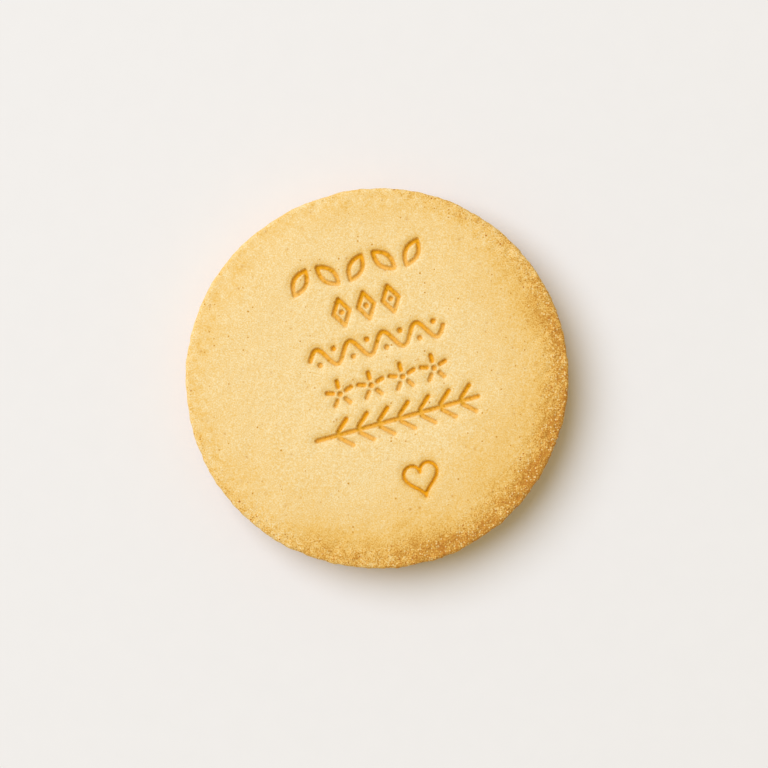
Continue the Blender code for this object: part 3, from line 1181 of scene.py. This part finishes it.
def sugar_material(grains):
    """Pale grains of sugar with a slight gloss, some of them more golden."""
    material, nodes, links, shader = material_nodes("sugar_grain")
    golden = [part * share for part, share in zip(grains.sugar, SUGAR_GOLD)]
    toned = noise_value(nodes, links, SUGAR_PATCH)
    colour = colour_ramp(nodes, links, toned, zip(SUGAR_STOPS, (grains.sugar, golden)))
    links.new(colour, shader.inputs["Base Color"])
    shader.inputs["Roughness"].default_value = SUGAR_GLOSS
    shader.inputs["Specular IOR Level"].default_value = SUGAR_GLOSS
    return material


def random_turns(random, count):
    """Rotation matrices (n, 3, 3) of random directions, from unit quaternions."""
    quaternions = random.normal(size=(4, count))
    w, x, y, z = quaternions / np.linalg.norm(quaternions, axis=0)
    return np.array((
        (1 - 2 * (y * y + z * z), 2 * (x * y - z * w), 2 * (x * z + y * w)),
        (2 * (x * y + z * w), 1 - 2 * (x * x + z * z), 2 * (y * z - x * w)),
        (2 * (x * z - y * w), 2 * (y * z + x * w), 1 - 2 * (x * x + y * y)),
    )).transpose(2, 0, 1)


def icosahedron():
    """The 12 corners, at distance 1, and 20 faces of an icosahedron: two poles and two rings."""
    turn = np.arange(5) * 2 * math.pi / 5
    high = np.full(5, 1 / math.sqrt(5))
    wide = 2 / math.sqrt(5)
    upper = np.column_stack((wide * np.cos(turn), wide * np.sin(turn), high))
    turn = turn + math.pi / 5
    lower = np.column_stack((wide * np.cos(turn), wide * np.sin(turn), -high))
    corners = np.vstack(((0, 0, 1), upper, lower, (0, 0, -1)))
    i = np.arange(5)
    n = (i + 1) % 5
    faces = np.vstack((
        np.column_stack((0 * i, 1 + i, 1 + n)),
        np.column_stack((1 + n, 1 + i, 6 + i)),
        np.column_stack((1 + n, 6 + i, 6 + n)),
        np.column_stack((11 + 0 * i, 6 + n, 6 + i)),
    ))
    return corners, faces


def cube():
    """The 8 corners, at distance 1, and 12 triangles of a cube."""
    corners = np.array([(x, y, z) for z in (-1, 1) for y in (-1, 1) for x in (-1, 1)])
    faces = np.array((
        (0, 2, 3), (0, 3, 1), (4, 5, 7), (4, 7, 6), (0, 1, 5), (0, 5, 4),
        (2, 6, 7), (2, 7, 3), (0, 4, 6), (0, 6, 2), (1, 3, 7), (1, 7, 5),
    ))
    return corners / math.sqrt(3), faces


def even_by_area(length, radii, end):
    """A table that turns an even draw into a way along the profile, even over its surface."""
    stops = length[length <= end]
    radii = radii[: len(stops)]
    area = np.concatenate(([0.0], ((radii[1:] + radii[:-1]) / 2 * np.diff(stops)).cumsum()))
    return area / area[-1], stops


def scattered(solid, count, size, seed, strays, shape, stamp):
    """Copies of a small solid half sunk in the crust, as one array of points, faces and values.

    Places are drawn evenly over the top and side and kept where a second draw is under the
    crumbliness there, or under the chance of a stray. Each copy has its own size, stretch, dents
    and turn, and those on the side are smaller.
    """
    random = np.random.default_rng(seed)
    length, radii, heights = cross_section(shape)
    draws = count * TRIES
    even = even_by_area(length, radii, foot_way(length, heights))
    along = np.interp(random.uniform(0.0, 1.0, draws), *even)
    angle = random.uniform(0.0, 2 * math.pi, draws)
    _, normals, share = bare_surface(along, angle, shape)
    wanted = crumbliness(share, angle, normals) ** KEEP_POWER + strays
    kept = np.flatnonzero(random.uniform(0.0, 1.0, draws) < wanted)[:count]
    along, angle, normals = along[kept], angle[kept], normals[kept]
    places, values = dressed_surface(along, angle, shape, stamp)
    clear = values["pressed_and_shaded"] < CLEAR_PRESSED
    places, normals = places[clear], normals[clear]
    values = {key: value[clear] for key, value in values.items()}
    number = len(places)
    corners, faces = solid
    radius = size / 2 * random.lognormal(0.0, SIZE_SPREAD, number)
    radius = radius * (1 - SIDE_SHRINK * ramp(-normals[:, 2], *GRAIN_TURN))
    stretch = random.uniform(*STRETCHES, (number, 1, 3))
    dents = random.uniform(*DENTS, (number, len(corners), 1))
    turns = random_turns(random, number)
    shapes = np.einsum("nij,nkj->nki", turns, corners[None] * stretch * dents)
    sunk = places - normals * (radius * random.uniform(*SUNK_SHARES, number))[:, None]
    points = shapes * radius[:, None, None] + sunk[:, None, :]
    points[..., 2] = np.maximum(points[..., 2], FLOOR_GAP)
    numbered = faces[None] + (np.arange(number) * len(corners))[:, None, None]
    own_tone = random.uniform(*TONE_SHIFTS, number)
    values["browning_and_shade"] = np.clip(values["browning_and_shade"] + own_tone, 0.0, 1.0)
    spread = {key: np.repeat(value, len(corners)) for key, value in values.items()}
    return points.reshape(-1, 3), numbered.reshape(-1, 3), spread


class BISCUIT_OT_bake_crust(bpy.types.Operator):
    """Builds the crust: the whole biscuit as one closed surface with its stamp"""

    bl_idname = "biscuit.bake_crust"
    bl_label = "Bake Crust"

    def execute(self, context):
        scene = context.scene
        stops, counts = ring_stops(scene.biscuit_shape)
        along = np.repeat(stops, counts)
        firsts = np.concatenate(([0], counts.cumsum()[:-1]))
        number = np.arange(counts.sum()) - np.repeat(firsts, counts)
        angle = 2 * math.pi * number / np.repeat(counts, counts)
        points, values = dressed_surface(along, angle, scene.biscuit_shape, scene.biscuit_stamp)
        rings = zip(firsts[:-1], counts[:-1], firsts[1:], counts[1:])
        faces = np.vstack([band(*ring) for ring in rings])
        material = crust_material(scene.biscuit_crust)
        piece = mesh_object("stamped_crust", points, faces, values, material)
        on_biscuit(piece)
        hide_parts(CAD_NODE)
        return {"FINISHED"}


class BISCUIT_OT_scatter_grains(bpy.types.Operator):
    """Scatters crumbs and grains of sugar on the rim"""

    bl_idname = "biscuit.scatter_grains"
    bl_label = "Scatter Grains"

    def execute(self, context):
        scene = context.scene
        shape, stamp, grains = scene.biscuit_shape, scene.biscuit_stamp, scene.biscuit_grains
        crumbs = (icosahedron(), grains.crumb_count, grains.crumb_size, CRUMB_SEED, 0.0)
        sugar = (cube(), grains.sugar_count, grains.sugar_size, SUGAR_SEED, STRAY_CHANCE)
        for name, kind, material in (
            ("rim_crumbs", crumbs, bpy.data.materials["golden_crust"]),
            ("sugar_grains", sugar, sugar_material(grains)),
        ):
            points, faces, values = scattered(*kind, shape, stamp)
            on_biscuit(mesh_object(name, points, faces, values, material))
        return {"FINISHED"}


class BISCUIT_OT_set_stage(bpy.types.Operator):
    """Lays the floor, hangs the lights and sets up the camera straight above"""

    bl_idname = "biscuit.set_stage"
    bl_label = "Set Stage"

    def execute(self, context):
        stage = context.scene.biscuit_stage
        lay_floor(stage)
        hang_lights(context.scene, stage)
        aim_camera(context.scene, context.scene.biscuit_shape)
        return {"FINISHED"}


def lay_floor(stage):
    """A wide plain floor at the height of the biscuit's base."""
    half = FLOOR_SIZE / 2
    corners = np.array(((-half, -half, 0), (half, -half, 0), (half, half, 0), (-half, half, 0)))
    material, nodes, links, shader = material_nodes("plain_floor")
    speckle = noise_value(nodes, links, *FLOOR_SPECKLE)
    darker = [part * FLOOR_SHADE for part in stage.floor]
    colour = colour_ramp(nodes, links, speckle, zip(FLOOR_STOPS, (stage.floor, darker)))
    links.new(colour, shader.inputs["Base Color"])
    shader.inputs["Roughness"].default_value = FLOOR_ROUGHNESS
    shader.inputs["Specular IOR Level"].default_value = FLOOR_SHEEN
    mesh_object("floor", corners, np.array(((0, 1, 2, 3),)), {}, material)


def hang_lights(scene, stage):
    """A large soft key light from the upper left, and even light from all round."""
    lamp = bpy.data.lights.new("key_light", "AREA")
    lamp.shape = "DISK"
    lamp.size = KEY_SIZE
    lamp.energy = stage.key_power
    lamp.color = stage.key_colour
    key = bpy.data.objects.new("key_light", lamp)
    flat = math.cos(KEY_ELEVATION)
    across = (flat * math.cos(KEY_AZIMUTH), flat * math.sin(KEY_AZIMUTH))
    direction = Vector((*across, math.sin(KEY_ELEVATION)))
    key.location = direction * KEY_DISTANCE
    key.rotation_euler = direction.to_track_quat("Z", "Y").to_euler()
    scene.collection.objects.link(key)
    world = bpy.data.worlds.new("soft_surroundings")
    world.use_nodes = True
    background = world.node_tree.nodes["Background"]
    background.inputs["Color"].default_value = (*stage.fill_colour, 1.0)
    background.inputs["Strength"].default_value = stage.fill
    scene.world = world
    scene.view_settings.view_transform = "Standard"


def aim_camera(scene, shape):
    """A long lens straight above, which shows the widest of the rim at the photograph's size."""
    _, radii, heights = cross_section(shape)
    metres_per_pixel = shape.diameter / 2 / RADIUS_PIXELS
    span = IMAGE_SIZE * metres_per_pixel
    camera = bpy.data.objects.new("camera", bpy.data.cameras.new("camera"))
    camera.data.lens = LENS_MM
    camera.data.sensor_width = SENSOR_MM
    camera.location = (
        (IMAGE_SIZE / 2 - CENTRE_PIXEL[0]) * metres_per_pixel,
        (CENTRE_PIXEL[1] - IMAGE_SIZE / 2) * metres_per_pixel,
        span * LENS_MM / SENSOR_MM + heights[radii.argmax()],
    )
    camera.data.clip_start = NEAREST
    camera.data.clip_end = FARTHEST
    scene.collection.objects.link(camera)
    scene.camera = camera


class BISCUIT_PT_panel(bpy.types.Panel):
    """The biscuit's settings and steps"""

    bl_idname = "BISCUIT_PT_panel"
    bl_label = "Stamped Biscuit"
    bl_space_type = "VIEW_3D"
    bl_region_type = "UI"
    bl_category = "Biscuit"

    def draw(self, context):
        for group, _ in SETTINGS:
            box = self.layout.box()
            settings = getattr(context.scene, group)
            for name in settings.__annotations__:
                box.prop(settings, name)
        for step in STEPS:
            self.layout.operator(step.bl_idname)


SETTINGS = (
    ("biscuit_shape", BiscuitShape),
    ("biscuit_stamp", BiscuitStamp),
    ("biscuit_crust", BiscuitCrust),
    ("biscuit_grains", BiscuitGrains),
    ("biscuit_stage", BiscuitStage),
)
STEPS = (BISCUIT_OT_bake_crust, BISCUIT_OT_scatter_grains, BISCUIT_OT_set_stage)


def register():
    """Registers the settings, the steps and the panel."""
    for name, group in SETTINGS:
        bpy.utils.register_class(group)
        setattr(bpy.types.Scene, name, PointerProperty(type=group))
    for step in (*STEPS, BISCUIT_PT_panel):
        bpy.utils.register_class(step)


def unregister():
    """Takes away what register added."""
    for step in (BISCUIT_PT_panel, *reversed(STEPS)):
        bpy.utils.unregister_class(step)
    for name, group in reversed(SETTINGS):
        delattr(bpy.types.Scene, name)
        bpy.utils.unregister_class(group)


def main():
    """Builds every piece and the stage."""
    register()
    bpy.ops.biscuit.bake_crust()
    bpy.ops.biscuit.scatter_grains()
    bpy.ops.biscuit.set_stage()


if __name__ == "__main__":
    main()
